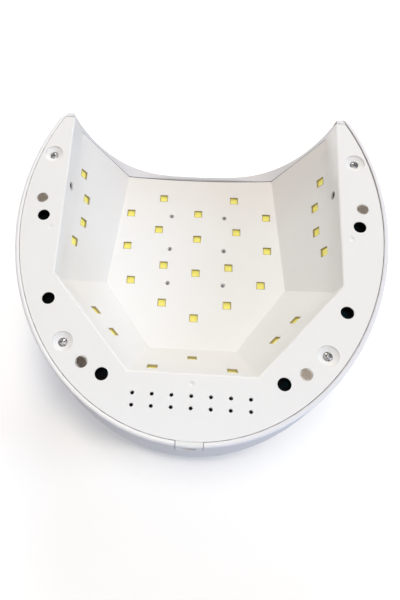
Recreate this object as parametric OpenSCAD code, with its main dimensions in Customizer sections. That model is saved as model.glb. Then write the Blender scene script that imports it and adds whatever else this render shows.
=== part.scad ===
// Nail lamp with a domed shell, a faceted reflector cavity and boards of emitters behind its windows.
// The lamp stands on z = 0, the hand goes in from the front, which faces minus Y, and +Z is up.

/* [Shell] */
// Width across the shell
body_w = 219; // [214:1:230]
// Depth from the horn tips to the back
body_d = 208; // [206:1:218]
// Height over the crown
body_h = 96; // [94:1:108]
// Distance from the middle of the plan's ellipse forward to the front face
front_reach = 74; // [70:1:78]
// Height of the upright skirt below the dome
skirt_h = 10; // [8:1:14]
// Power of the dome's profile, 2 is an ellipsoid and more is boxier
dome_power = 2.9; // [2.6:0.1:3.2]
// How far the crown lies behind the middle of the plan ellipse
crown_shift = 26; // [22:1:30]
// Wall of the shell
shell_wall = 2.7; // [2.2:0.1:3.2]
// Rounding of the shell's bottom edge
rim_round = 1.2; // [0.8:0.1:1.6]
// Rounding of the edge round the front face
front_round = 3; // [1.5:0.5:4]
// Radius of the sphere that the buttons and the window follow at the crown
crown_r = 500; // [460:10:540]

/* [Front opening] */
// Height of the opening in the front face
rim_top = 67; // [65:0.5:69]
// Powers of the opening's arch, along the width and up
rim_wide_power = 3.15; // [2.8:0.05:3.5]
rim_high_power = 1.3; // [1.2:0.05:1.5]
// How far the rim's foot stands outside the cavity's mouth
rim_foot_out = 0.8; // [0.5:0.1:1.5]
// Gap between the lip and the liner's front edge
lip_gap = 0.6; // [0.4:0.05:0.8]
// How far the strip in that gap stays below the surface
strip_sink = 0.3; // [0.2:0.05:0.5]

/* [Reflector liner] */
// Gap between the liner and the shell
liner_fit = 0.3; // [0.2:0.05:0.4]
// Thickness of the flange
flange_t = 2.5; // [2:0.1:3]
// Width of the flange beside the cavity, from the shell's outer edge
flange_side = 26; // [25:0.5:27]
// Width of the flange behind the cavity
flange_rear = 38; // [36:0.5:40]
// Height of the rim that stiffens the flange's edge
flange_rim_h = 7; // [5:0.5:8]
// Thickness of that rim
flange_rim_t = 1.6; // [1.2:0.1:2]
// Level wall of the cavity
cavity_wall = 2.2; // [1.8:0.1:2.6]
// Height of the cavity's ceiling
cavity_h = 54; // [52:1:56]
// Thickness of the ceiling
ceiling_t = 2; // [1.6:0.1:2.4]
// Height of the steep band round the mouth
band_h = 13; // [11:0.5:14]
// How far the cavity's front edge leans back over its height
front_lean = 7.6; // [5:0.2:9]
// How far the flange's tips stay behind the shell's front face
tip_inset = 3; // [3:0.1:3.5]
// Width of the bevel round the mouth
mouth_bevel = 0.6; // [0.4:0.1:0.8]
// How far the ceiling's front edge bows back in the middle
front_bow = 2; // [1:0.2:3]
// How far the mouth narrows from its front to its side corner
mouth_taper = 1.8; // [1:0.1:2.5]
// Distance from the lamp's middle back to the mouth's side corner
mouth_corner_y = 10.7; // [8:0.1:13]
// Half width of the mouth's rear edge
mouth_rear_half = 34.7; // [32:0.1:37]
// How far the band leans in at the front
band_in_front = 3.1; // [2:0.1:4]
// How far the band leans in at the side corner
band_in_side = 2.3; // [1.5:0.1:3]
// Half width of the ceiling's front edge
ceiling_front_half = 51.2; // [49:0.1:53]
// Half width of the ceiling at its side corner
ceiling_side_half = 59.6; // [57:0.1:61]
// Distance from the lamp's middle forward to the ceiling's side corner
ceiling_side_y = 8.2; // [6:0.1:10]
// Half width of the ceiling's rear edge
ceiling_rear_half = 27.7; // [26:0.1:30]
// How far the rear wall leans in over its height
rear_lean = 30; // [28:0.5:32]

/* [Flange details] */
// Diameter of the holes for the tray's pegs
peg_hole_d = 7.3; // [6.8:0.1:7.6]
// Thickness of the flange round those holes
peg_lip_t = 0.5; // [0.4:0.1:1]
// Wall of the rubber socket behind a hole
socket_wall = 1.2; // [1:0.1:1.4]
// Depth of the socket's bore
socket_deep = 5; // [4:0.5:5.5]
// Gap round a socket in its boss
socket_fit = 0.1; // [0.05:0.05:0.2]
// Wall of the bosses round sockets and magnets
boss_wall = 1.4; // [1.2:0.1:1.6]
// Diameter of the tray magnets
magnet_d = 6.6; // [6:0.1:7]
// Thickness of the tray magnets
magnet_t = 3; // [2:0.5:3.5]
// How far the magnets sit below the flange's face
magnet_sink = 0.1; // [0:0.1:0.4]
// Gap round a magnet
magnet_fit = 0.1; // [0.05:0.05:0.2]
// Diameter of a vent hole
vent_d = 2.1; // [1.6:0.1:2.6]
// Distance between vent holes
vent_pitch = 10.3; // [9:0.1:10.6]
// Distance between the two rows of vents
vent_row_gap = 6.4; // [5:0.1:7]
// Distance from the mouth back to the first row of vents
vent_back = 11.7; // [10:0.1:12.5]
// Diameter of the dimples
dimple_d = 3; // [2.4:0.1:3.4]
// Depth of the dimples
dimple_deep = 0.9; // [0.6:0.1:1]

/* [Case screws] */
// Diameter of the recess round a case screw's head
recess_d = 11.2; // [10.8:0.1:11.6]
// Depth of the recess down to the head's seat
recess_deep = 4; // [3.6:0.1:4.4]
// Diameter of the recess at the head's seat
seat_d = 5.2; // [5:0.1:5.6]
// Width of the bevel round the recess
recess_bevel = 0.3; // [0.2:0.1:0.4]
// Depth of that bevel
recess_bevel_deep = 0.3; // [0.2:0.1:0.4]
// Diameter of the case screw's head
case_head_d = 4.7; // [4.4:0.1:4.9]
// Height of the case screw's head
case_head_h = 2.3; // [2:0.1:2.4]
// Height of the crown on the head
case_crown = 0.7; // [0.4:0.1:0.9]
// Length and width of the head's cross
cross_l = 3.4; // [3:0.1:3.8]
cross_w = 0.9; // [0.7:0.1:1]
// Depth of the cross
cross_deep = 1.3; // [1:0.1:1.4]
// Diameter of the case screw's shank
case_shank_d = 2.9; // [2.6:0.1:3]
// Length of the case screw's shank
case_shank_len = 14; // [12:1:16]
// Diameter of the liner's screw boss
liner_boss_d = 12.4; // [12:0.1:12.8]
// Top of the liner's screw boss
liner_boss_h = 8; // [7.5:0.1:9]
// Diameter of the shell's screw boss
shell_boss_d = 8; // [7:0.5:9]

/* [Emitters and boards] */
// Side of an emitter's square package
led_side = 5.3; // [5:0.1:5.6]
// Side of a side wall's and of a rear quarter's package
side_led_side = 5.6; // [5.3:0.1:5.8]
quarter_led_side = 5.9; // [5.6:0.1:6.1]
// Length up the wall of a rear emitter's package
rear_led_l = 8.8; // [8:0.1:9.2]
// Thickness of an emitter's package
led_t = 2.9; // [2.6:0.1:2.9]
// Width of the package's frame round the lens
led_frame = 0.2; // [0.15:0.05:0.4]
// Depth of the package's cup
led_cup = 1.6; // [1.2:0.1:1.8]
// Thickness of the lens in the middle of the cup
led_lens_h = 0.5; // [0.4:0.1:0.8]
// Gap between an emitter and its window
window_fit = 0.1; // [0.05:0.05:0.3]
// Width of the collar round a window
collar_w = 1.6; // [1.2:0.1:2]
// Distance from the cavity's face to a board
board_off = 3; // [2.8:0.1:3.4]
// Thickness of a board of emitters
board_t = 1.6; // [1.2:0.1:2]
// Distance along the wall from a side board's middle to its outer emitters
side_led_far = 25; // [24:0.1:26]
// Distance along the wall from a side board's middle to its inner emitters
side_led_near = 8.7; // [8:0.1:9.4]
// How far the side emitters stray up and down from the board's middle
side_led_step = 2.85; // [2.4:0.05:3.3]
// Distance along the wall from a rear side board's middle to its emitters
quarter_led_far = 8.8; // [8.4:0.1:9.2]
// Distance along the wall from the rear board's middle to its outer emitters
rear_led_far = 22; // [20:0.5:23]
// How far the rear board's outer emitters lie below its middle
rear_led_drop = 9.8; // [9:0.1:10.6]
// How far the rear board's upper emitter lies above its middle
rear_led_rise = 16.5; // [15.5:0.5:17.5]
// Diameter of a board screw's shank
board_shank_d = 2; // [1.8:0.1:2.2]
// Diameter of a board screw's head
board_head_d = 4; // [3.6:0.1:4.4]
// Height of a board screw's head
board_head_h = 1.4; // [1.2:0.1:1.6]
// Diameter of the hole that shows in the ceiling below a board screw
ceiling_hole_d = 3; // [2.6:0.1:3.4]
// Depth of that hole
ceiling_hole_deep = 1.5; // [1:0.1:1.7]

/* [Hand sensor] */
// Diameter of the sensor's bulb
sensor_d = 5; // [4:0.1:5.2]
// Length of the sensor's bulb
sensor_len = 8; // [7:0.5:9]
// How far the sensor's nose stays behind the cavity's wall
sensor_face = 0.1; // [0.1:0.1:0.6]
// Wall of the liner's tube round the sensor
sensor_wall = 1.7; // [1.4:0.1:2]
// Height of the sensor above the base
sensor_z = 8; // [7.6:0.1:8.4]
// Distance from the front case screw back to the sensor
sensor_back = 18.7; // [18:0.1:19.4]

/* [Timer buttons] */
// Diameter of a timer button
button_d = 13; // [12:0.1:14]
// Gap round a timer button
button_fit = 0.3; // [0.2:0.05:0.4]
// Distance between timer buttons
button_pitch = 19; // [18.5:0.1:20]
// Distance of the buttons in front of the crown
button_front = 11; // [10:0.5:13]
// How far a button stands above the dome
button_proud = 0.8; // [0.5:0.1:1.2]
// Travel of a button
button_travel = 0.6; // [0.4:0.1:0.7]
// Wall of a button's guide tube
guide_wall = 2.2; // [1.8:0.1:2.4]
// Thickness of a button's retaining flange
button_flange_t = 1.2; // [1:0.1:1.4]
// How far the retaining flange stands out round the button
button_ledge = 1.5; // [1.2:0.1:1.8]
// Diameter of the stem that meets the switch
stem_d = 4.4; // [3.6:0.1:5]
// Length of that stem below the flange
stem_len = 0.6; // [0.4:0.1:1]

/* [Display] */
// Width of the display window
window_w = 30; // [28:0.5:32]
// Length of the display window, front to back
window_l = 15; // [14:0.5:16]
// Corner radius of the display window
window_r = 3; // [2:0.5:4]
// Distance of the display window behind the crown
window_back = 14; // [13:0.5:15]
// Gap round the window
window_gap = 0.2; // [0.1:0.05:0.3]
// Width of the ledge that holds the window from inside
window_ledge = 2; // [1.6:0.1:2.4]
// Thickness of the window's inner plate
window_plate_t = 1.2; // [1:0.1:1.6]
// Width of the display module
display_w = 22.6; // [22:0.1:23]
// Length of the display module
display_l = 14; // [13:0.5:15]
// Gap between the display module and the window
display_gap = 0.6; // [0.4:0.1:1]

/* [Main board] */
// Width of the main board
main_w = 88; // [86:1:90]
// Length of the main board, front to back
main_l = 56; // [54:1:58]
// Diameter and height of a storage capacitor
cap_d = 8; // [6:0.5:9]
cap_h = 11.5; // [10:0.5:12]
// Width and height of the power inductor
coil_w = 10; // [9:0.5:12]
coil_h = 5; // [4:0.5:6]
// Width, length and height of the control chip
chip_w = 7.5; // [7:0.5:8]
chip_l = 12.8; // [10:0.1:14]
chip_h = 2.3; // [2:0.1:2.6]
// Distance between the chip's leads
chip_pitch = 1.27; // [1:0.01:1.3]
// Number of the chip's leads on a side
chip_leads_n = 10; // [8:1:10]
// Distance between the pins of a board socket
pin_pitch = 2.5; // [2:0.1:2.54]
// Depth and height of a board socket
socket_l = 5.8; // [5:0.1:6.5]
socket_h = 6; // [5:0.5:7]
// Distance from the board's edge to its screws
main_screw_in = 4.5; // [4:0.1:5]
// Diameter of the shell's posts that carry the board
post_d = 7; // [6:0.5:8]
// Side of a tact switch
switch_side = 6; // [5.8:0.1:6.2]
// Height of a tact switch's case
switch_h = 3.4; // [3.2:0.1:3.6]
// Height of a switch plunger above the board
plunger_h = 5; // [4.8:0.1:5.4]
// Diameter of a switch plunger
plunger_d = 3.4; // [3:0.1:3.6]

/* [Power inlet] */
// Width of the liner's tab that closes the shell's notch
tab_w = 14; // [13:0.5:15]
// Height of that tab
tab_h = 13.5; // [13:0.1:14]
// Diameter of the inlet's nose
nose_d = 8; // [7.8:0.1:8.2]
// Diameter of the inlet's bore
inlet_bore_d = 6.4; // [6.2:0.1:6.6]
// Depth of the inlet's bore
inlet_deep = 10; // [9:0.5:11]
// Diameter of the inlet's centre pin
inlet_pin_d = 2; // [1.9:0.1:2.1]
// How far the centre pin's tip stays inside the inlet's mouth
inlet_pin_sink = 3.5; // [3:0.1:4]
// How far the nose sits inside the tab's face
nose_sink = 1.4; // [1:0.1:1.8]
// Height of the inlet's axis above the base
inlet_z = 7; // [7:0.1:7.4]
// Side of the inlet's square body
inlet_side = 9; // [8.6:0.1:9]
// Length of the inlet's body
inlet_len = 12; // [11:0.5:13]
// Wall of the cradle that holds the inlet
cradle_wall = 1.5; // [1.2:0.1:2]
// Gap between the inlet and its cradle
inlet_fit = 0.1; // [0.05:0.05:0.2]

/* [Hidden] */

// Faces of a full turn on round pieces
round_fn = 48;
// Segments round the dome and steps up it
dome_seg = 72;
dome_steps = 16;
// Steps of the cavity's walls, along the front, the side and the rear quarter, and up
front_steps = 4;
side_steps = 6;
quarter_steps = 3;
up_steps = 5;

half_w = body_w / 2;
rear_y = body_d / 2;
front_y = -rear_y;
plan_half_len = body_d - front_reach;
plan_cy = rear_y - plan_half_len;
crown_y = plan_cy + crown_shift;
tip_y = front_y + tip_inset;
edge_y = tip_y + front_lean;

// Corners of the cavity on the +X side as [x, y], front, side and rear, at its three heights
mouth_half = half_w - flange_side;
mouth = [
    [mouth_half, tip_y],
    [mouth_half - mouth_taper, mouth_corner_y],
    [mouth_rear_half, rear_y - flange_rear]
];
ceiling = [
    [ceiling_front_half, edge_y],
    [ceiling_side_half, -ceiling_side_y],
    [ceiling_rear_half, rear_y - flange_rear - rear_lean]
];
crease = [
    [mouth_half - band_in_front, tip_y + front_lean * band_h / cavity_h],
    [mouth_half - mouth_taper - band_in_side, mouth_corner_y - band_in_side / 2],
    mix(mouth[2], ceiling[2], band_h / cavity_h)
];
// The vents' first row, and how far in front of it the middle dimple lies
vent_y = mouth[2][1] + vent_back;
dimple_front = 6.5;
// Mitre factors that keep the wall even past the side and rear corners
side_turn = wall_angle(mouth[1], mouth[2]) - 90;
side_mitre = tan(side_turn / 2);
rear_mitre = tan((90 - side_turn) / 2);

// Places on the crown
switch_xs = [for (k = [-1.5:1:1.5]) k * button_pitch];
button_y = crown_y - button_front;
window_y = crown_y + window_back;
main_post_xs = [-1, 1] * (main_w / 2 - main_screw_in);
main_post_ys = [for (s = [-1, 1]) crown_y + s * (main_l / 2 - main_screw_in)];

// Heights of the boards and of the crown's pieces, stacked down from the shell's inner face
seat_clear = 0.5;
button_reach = button_d / 2 + button_ledge;
guide_z = dome_z(switch_xs[3] + button_reach, button_y - button_reach, shell_wall) - seat_clear;
button_flange_z = guide_z - button_fit;
plunger_top = button_flange_z - button_flange_t - stem_len;
main_z = plunger_top - plunger_h;
window_reach = [window_w / 2 + window_ledge, window_y + window_l / 2 + window_ledge];
window_seat_z = dome_z(window_reach[0], window_reach[1], shell_wall) - seat_clear;
window_plate_z = window_seat_z - window_plate_t;
ceiling_board_z = cavity_h + board_off;
// Sizes of the emitters as [along, up]
led = [led_side, led_side];
side_led = [side_led_side, side_led_side];
quarter_led = [quarter_led_side, quarter_led_side];
rear_led = [side_led_side, rear_led_l];
// Edges of the boards round their emitters
board_edge_gap = 1.5;
board_end = 4.5;
board_side = 3.5;
// Where the collars and the ceiling's edge start inside the liner's wall
collar_root = 0.9;
screw_tip = 1;
screw_collar_d = 5;
lip_tail = 4;
pilot_gap = 0.05;
clear_gap = 0.25;
magnet_top = magnet_sink + magnet_t;
magnet_floor = 1.2;
tab_line = 0.3;
tab_back = shell_wall + 1;
// The inlet's bore ends here, and its pin stands a little way into the body behind
inlet_end = nose_sink + inlet_deep;
pin_root = 3;
pin_tip = nose_sink + inlet_pin_sink;
plunger_seat = 1.6;
plunger_gap = 0.2;
main_bite = 4;
// The lip ends just outside the liner's faces, and its wall is as thick as the ceiling
lip_step = liner_fit / 2;
lip_wall = ceiling_t;
// A rubber socket and its boss
socket_d = peg_hole_d + 2 * socket_wall;
socket_floor = socket_wall;
socket_boss_d = socket_d + 2 * (socket_fit + boss_wall);

// Where the flange's pieces sit, as an angle round the plan ellipse and an inset from its edge
case_screw_at = [[-19.7, 10.3], [42.4, 12.7]];
peg_hole_at = [[1.5, 16.2], [28.6, 15.2], [58.3, 18]];
magnet_at = [[-4.3, 13.5], [51, 14.7]];
dimple_at = [[5.5, 21]];

// Where the ceiling's emitters and screws sit as [x, y], on the +X side and on the centre line
ceiling_led_pairs = [[25, -76], [47.5, -63], [27, -50.5], [48, -37], [22, -23], [43.5, -11], [21.5, 4.5]];
ceiling_led_mids = [[0, -64], [0, -44], [0, -18], [0, 14.5]];
ceiling_leds_at = concat(ceiling_led_mids, ceiling_led_pairs, [for (p = ceiling_led_pairs) mirrored(p)]);
ceiling_screws_at = flat([for (y = [-61.4, -35.5, -9.8]) [[-18.5, y], [18.5, y]]]);

// Parts under the main board as [x, y] from its middle, with the pins of each socket
chip_at = [0, -8];
caps_at = [[-22, 6], [-32, 6]];
coil_at = [28, -4];
main_sockets_at = [[0, 20], [-28, -14], [24, 14]];
main_pins = [4, 2, 3];
// Sockets on the ceiling's board as [x, y]
led_sockets_at = [[-10, 22], [10, 22]];
led_pins = 2;
chip_stand = 0.2;
lead_w = 0.4;
lead_l = 1.2;
lead_t = 0.3;
coil_foot_t = 1;
pin_w = 0.64;
socket_floor_t = 1;
socket_side_t = 0.8;

// Emitters and screws of each wall's board as [along, up] from the board's middle
side_leds = [for (s = [-1, 1]) each [[s * side_led_far, -side_led_step], [s * side_led_near, side_led_step]]];
side_screws = [[-16.9, 0], [16.9, 0]];
quarter_leds = [[-quarter_led_far, 0], [quarter_led_far, 0]];
quarter_screws = [[0, -4], [0, 4]];
rear_leds_at = [[-rear_led_far, -rear_led_drop], [rear_led_far, -rear_led_drop], [0, rear_led_rise]];
rear_screws = [[0, -rear_led_drop], [0, rear_led_rise - 11]];
// Where each board's middle lies on its wall, as shares of the wall's length and height
side_mid = [0.512, 0.193];
quarter_mid = [0.52, 0.201];
rear_mid = [0.5, 0.153];

function mix(a, b, u) = a + (b - a) * u;
function wall_angle(a, b) = atan2(b[1] - a[1], b[0] - a[0]);
function rim_at(p) = [(half_w - p[1]) * cos(p[0]), plan_cy + (plan_half_len - p[1]) * sin(p[0])];
function mirrored(p) = [-p[0], p[1]];
function flat(lists) = [for (l = lists) each l];
function middle(points) = [for (p = points) 1] * points / len(points);

// Profile of the dome: t runs from 0 at the skirt to 1 at the crown
function dome_s(t) = pow(1 - pow(t, dome_power), 1 / dome_power);
function dome_cy(t) = plan_cy + crown_shift * pow(t, 2.5);
function ring(z, s, cy, inset, seg) = [
    for (k = [0:seg - 1])
        let (a = k * 360 / seg)
        [(half_w - inset) * s * cos(a), cy + (plan_half_len - inset) * s * sin(a), z]
];

// Solid through a stack of rings that have the same number of points, closed by a fan at each end
module skin(rings) {
    n = len(rings[0]);
    m = len(rings);
    sides = [
        for (i = [0:m - 2], j = [0:n - 1])
            let (a = i * n + j, b = i * n + (j + 1) % n)
            each [[a, a + n, b + n], [a, b + n, b]]
    ];
    low = [for (j = [0:n - 1]) [m * n, j, (j + 1) % n]];
    high = [for (j = [0:n - 1]) [m * n + 1, (m - 1) * n + (j + 1) % n, (m - 1) * n + j]];
    polyhedron(
        points = concat(flat(rings), [middle(rings[0]), middle(rings[m - 1])]),
        faces = concat(sides, low, high),
        convexity = 6
    );
}

// Rings of the shell's rounded bottom edge
function rounded_foot(r, seg) = [
    for (a = [0:30:90]) ring(r * (1 - cos(a)), 1, plan_cy, r * (1 - sin(a)), seg)
];

// The dome set in from its outer face by inset, from foot_z up or with its foot rounded by foot_round
function dome_level(u) = pow(sin(88 * u), 2 / dome_power);
module dome(inset, foot_round, foot_z, seg, steps) {
    foot = foot_round > 0 ? rounded_foot(foot_round, seg) : [ring(foot_z, 1, plan_cy, inset, seg)];
    body = [
        for (i = [0:steps])
            let (t = dome_level(i / steps))
            ring(skirt_h + t * (body_h - inset - skirt_h), dome_s(t), dome_cy(t), inset, seg)
    ];
    skin(concat(foot, body));
}

// Height of the dome's face, set in by inset, over the point x, y
function dome_holds(t, x, y, inset) =
    pow(x / (half_w - inset), 2) + pow((y - dome_cy(t)) / (plan_half_len - inset), 2) <= pow(dome_s(t), 2);
function dome_t(x, y, inset, lo = 0, hi = 1, n = 20) =
    let (m = (lo + hi) / 2, inside = dome_holds(m, x, y, inset))
    n == 0 ? lo : dome_t(x, y, inset, inside ? m : lo, inside ? hi : m, n - 1);
function dome_z(x, y, inset) = skirt_h + dome_t(x, y, inset) * (body_h - inset - skirt_h);

// Section of the dome at its front face, as [half width, height] at the dome's own levels and then
// in quarters to the top
arch_top = dome_t(0, front_y, 0);
arch_low = [for (i = [0:dome_steps]) let (t = dome_level(i / dome_steps)) if (t < 0.98 * arch_top) t];
arch_last = max(arch_low);
arch = [
    for (t = concat(arch_low, [for (u = [0.25:0.25:1]) mix(arch_last, arch_top, 1 - pow(1 - u, 2))]))
        [
            half_w * sqrt(max(0, pow(dome_s(t), 2) - pow((dome_cy(t) - front_y) / plan_half_len, 2))),
            skirt_h + t * (body_h - skirt_h)
        ]
];
arch_n = len(arch) - 1;
arch_h = arch[arch_n][1];
function arch_ring(y, inset) =
    let (
        sx = 1 - inset / arch[0][0],
        sz = 1 - inset / arch_h,
        side = [for (k = [0:arch_n - 1]) [arch[k][0] * sx, arch[k][1] * sz]],
        right = concat([[arch[0][0] * sx, -1]], side)
    )
    concat(
        [for (p = right) [-p[0], y, p[1]]],
        [[0, y, arch_h * sz]],
        [for (k = [len(right) - 1:-1:0]) [right[k][0], y, right[k][1]]]
    );

// Block that cuts the dome off at the front face and rounds the edge
module front_form() {
    r = front_round;
    skin([
        arch_ring(front_y, r),
        arch_ring(front_y + r * 0.12, r * 0.5),
        arch_ring(front_y + r * 0.5, r * 0.1),
        arch_ring(front_y + r, -r * 0.2),
        arch_ring(front_y + 4 * r, -r * 6),
        arch_ring(rear_y + body_h / 2, -body_h)
    ]);
}

// Outline of the front opening's rim, grown outwards by grow
module rim_outline(grow) {
    half = mouth[0][0] + rim_foot_out + grow;
    side = [
        for (a = [0:6:84])
            [half * pow(cos(a), 2 / rim_wide_power), (rim_top + grow) * pow(sin(a), 2 / rim_high_power)]
    ];
    left = [for (k = [len(side) - 1:-1:0]) mirrored(side[k])];
    polygon(concat([[half, -1]], side, [[0, rim_top + grow]], left, [[-half, -1]]));
}

// Outline of the cavity's front edge, grown outwards by grow
module edge_outline(grow) {
    m = mouth[0][0] + grow;
    k = crease[0][0] + grow;
    c = ceiling[0][0] + grow;
    polygon([[-m, -1], [m, -1], [k, band_h], [c, cavity_h + grow], [-c, cavity_h + grow], [-k, band_h]]);
}

// Slab of one of these outlines, t thick in front of y
module upright(y, t) translate([0, y, 0]) rotate([90, 0, 0]) linear_extrude(t) children();
// Flared passage from the front face to the cavity's edge
module lip_form(grow) {
    hull() {
        upright(front_y + 0.01, 0.5) rim_outline(grow);
        upright(edge_y, 0.5) edge_outline(lip_step + grow);
    }
    upright(edge_y + lip_tail, lip_tail) edge_outline(lip_step + grow);
}

// Ring of the cavity at one height: corners grown outwards by g and the front moved ahead by e
function cavity_ring(corners, z, g, e) =
    let (
        f = [corners[0][0] + g, corners[0][1] - e],
        s = [corners[1][0] + g, corners[1][1] + g * side_mitre],
        r = [corners[2][0] + g * rear_mitre, corners[2][1] + g],
        bow = front_bow * max(z, 0) / cavity_h,
        right = concat(
            [for (k = [1:front_steps - 1]) let (u = k / front_steps) [f[0] * u, f[1] + bow * (1 - u * u)]],
            [for (k = [0:side_steps - 1]) mix(f, s, k / side_steps)],
            [for (k = [0:quarter_steps]) mix(s, r, k / quarter_steps)]
        ),
        left = [for (k = [len(right) - 1:-1:0]) mirrored(right[k])]
    )
    [for (p = concat([[0, f[1] + bow]], right, left)) [p[0], p[1], z]];

// Solid of the cavity, grown by g, from low to high, with its mouth opened out by a bevel
module cavity_form(g, e, low, high, bevel = 0) {
    above_bevel = [for (i = [0:2]) mix(mouth[i], crease[i], bevel / band_h)];
    skin(concat(
        low < 0 ? [cavity_ring(mouth, low, g + bevel, e)] : [],
        [cavity_ring(mouth, 0, g + bevel, e)],
        bevel > 0 ? [cavity_ring(above_bevel, bevel, g, e)] : [],
        [cavity_ring(crease, band_h, g, e)],
        [
            for (k = [1:up_steps])
                let (u = k / up_steps)
                cavity_ring([for (i = [0:2]) mix(crease[i], ceiling[i], u)], mix(band_h, cavity_h, u), g, e)
        ],
        high > cavity_h ? [cavity_ring(ceiling, high, g, e)] : []
    ));
}

// Frame on a wall: origin at shares u and v of the wall, x along it, y up it and z out into the body
module on_wall(a, b, u, v) {
    low = [for (p = [crease[a], b > 2 ? mirrored(crease[2]) : crease[b]]) [p[0], p[1], band_h]];
    top = [for (p = [ceiling[a], b > 2 ? mirrored(ceiling[2]) : ceiling[b]]) [p[0], p[1], cavity_h]];
    run = mix(low[1] - low[0], top[1] - top[0], v);
    rise = mix(top[0] - low[0], top[1] - low[1], u);
    heading = atan2(run[1], run[0]);
    lean = atan2(rise[2], rise[1] * cos(heading) - rise[0] * sin(heading));
    translate(mix(mix(low[0], low[1], u), mix(top[0], top[1], u), v)) rotate([lean, 0, heading]) children();
}
module on_side() on_wall(0, 1, side_mid[0], side_mid[1]) children();
module on_quarter() on_wall(1, 2, quarter_mid[0], quarter_mid[1]) children();
module on_rear() on_wall(2, 3, rear_mid[0], rear_mid[1]) children();
module on_left() mirror([1, 0, 0]) children();
module both_sides() {
    children();
    mirror([1, 0, 0]) children();
}
module at_rim(places) for (p = places) translate(rim_at(p)) children();
module at_points(places) for (p = places) translate(p) children();
module on_ceiling() translate([0, 0, cavity_h]) children();

module plan(inset) {
    polygon([for (k = [0:119]) let (a = k * 3) rim_at([a, inset])]);
}
module disc(d, h) cylinder(d = d, h = h, $fn = round_fn);
module rounded_plate(w, l, r, t) {
    for (x = [-1, 1], y = [-1, 1]) translate([x * (w / 2 - r), y * (l / 2 - r), 0]) disc(2 * r, t);
    translate([-w / 2 + r, -l / 2, 0]) cube([w - 2 * r, l, t]);
    translate([-w / 2, -l / 2 + r, 0]) cube([w, l - 2 * r, t]);
}
module crown_ball(drop) translate([0, crown_y, body_h - drop - crown_r]) sphere(r = crown_r, $fn = 240);

// Collars and windows of one board, in the board's frame
module block(size, grow, low, high) {
    w = size[0] + 2 * grow;
    l = size[1] + 2 * grow;
    translate([-w / 2, -l / 2, low]) cube([w, l, high - low]);
}
module collars(leds, size, screws) {
    at_points(leds) block(size, window_fit + collar_w, collar_root, board_off);
    at_points(screws) translate([0, 0, collar_root]) disc(screw_collar_d, board_off - collar_root);
}
module windows(leds, size, screws) {
    at_points(leds) block(size, window_fit, -3, board_off + 1);
    at_points(screws) translate([0, 0, collar_root]) disc(board_shank_d + 2 * pilot_gap, board_off);
}

// Boss on the shell that takes a case screw, up from the liner's boss
module screw_column() translate([0, 0, liner_boss_h]) difference() {
    disc(shell_boss_d, body_h);
    translate([0, 0, -1]) disc(case_shank_d + 2 * pilot_gap, recess_deep + case_shank_len - liner_boss_h + 2);
}
module at_main_posts(z) for (x = main_post_xs, y = main_post_ys) translate([x, y, z]) children();
module at_buttons(z) for (x = switch_xs) translate([x, button_y, z]) children();

// What the shell carries inside: the lip, the screw bosses, the board's posts, the button guides and
// the window's frame, up to the middle of its wall
module shell_fittings() intersection() {
    dome(shell_wall / 2, 0, 0, dome_seg / 2, 8);
    union() {
        difference() {
            lip_form(lip_wall);
            translate([-half_w, front_y - 1, -2]) cube([body_w, 1.5, body_h]);
            translate([-half_w, tip_y - liner_fit, -2]) cube([body_w, body_d, 2 + flange_t + liner_fit]);
        }
        both_sides() at_rim(case_screw_at) screw_column();
        at_main_posts(main_z) disc(post_d, body_h);
        at_buttons(guide_z) disc(button_d + 2 * guide_wall, body_h);
        translate([0, window_y, window_seat_z]) window_slab(window_ledge + guide_wall, body_h);
    }
}
// Plate of the window's outline, grown by grow
module window_slab(grow, t) rounded_plate(window_w + 2 * grow, window_l + 2 * grow, window_r + grow, t);

module outer_shell() color("#f1f2f5") difference() {
    union() {
        difference() {
            intersection() {
                dome(0, rim_round, 0, dome_seg, dome_steps);
                front_form();
            }
            difference() {
                dome(shell_wall, 0, -1, dome_seg, dome_steps);
                translate([-half_w, front_y - 1, -2]) cube([body_w, 1 + tip_inset - liner_fit, body_h]);
            }
        }
        shell_fittings();
    }
    lip_form(0);
    cavity_form(cavity_wall + liner_fit, lip_gap, -2, cavity_h + ceiling_t + liner_fit);
    at_buttons(main_z + 1) disc(button_d + 2 * button_fit, body_h);
    translate([0, window_y, main_z + 1]) window_slab(window_gap, body_h);
    at_main_posts(main_z - 1) disc(board_shank_d + 2 * pilot_gap, main_bite + 2);
    translate([-tab_w / 2 - liner_fit, 0, -1]) cube([tab_w + 2 * liner_fit, body_d, tab_h + liner_fit + 1]);
}

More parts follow.
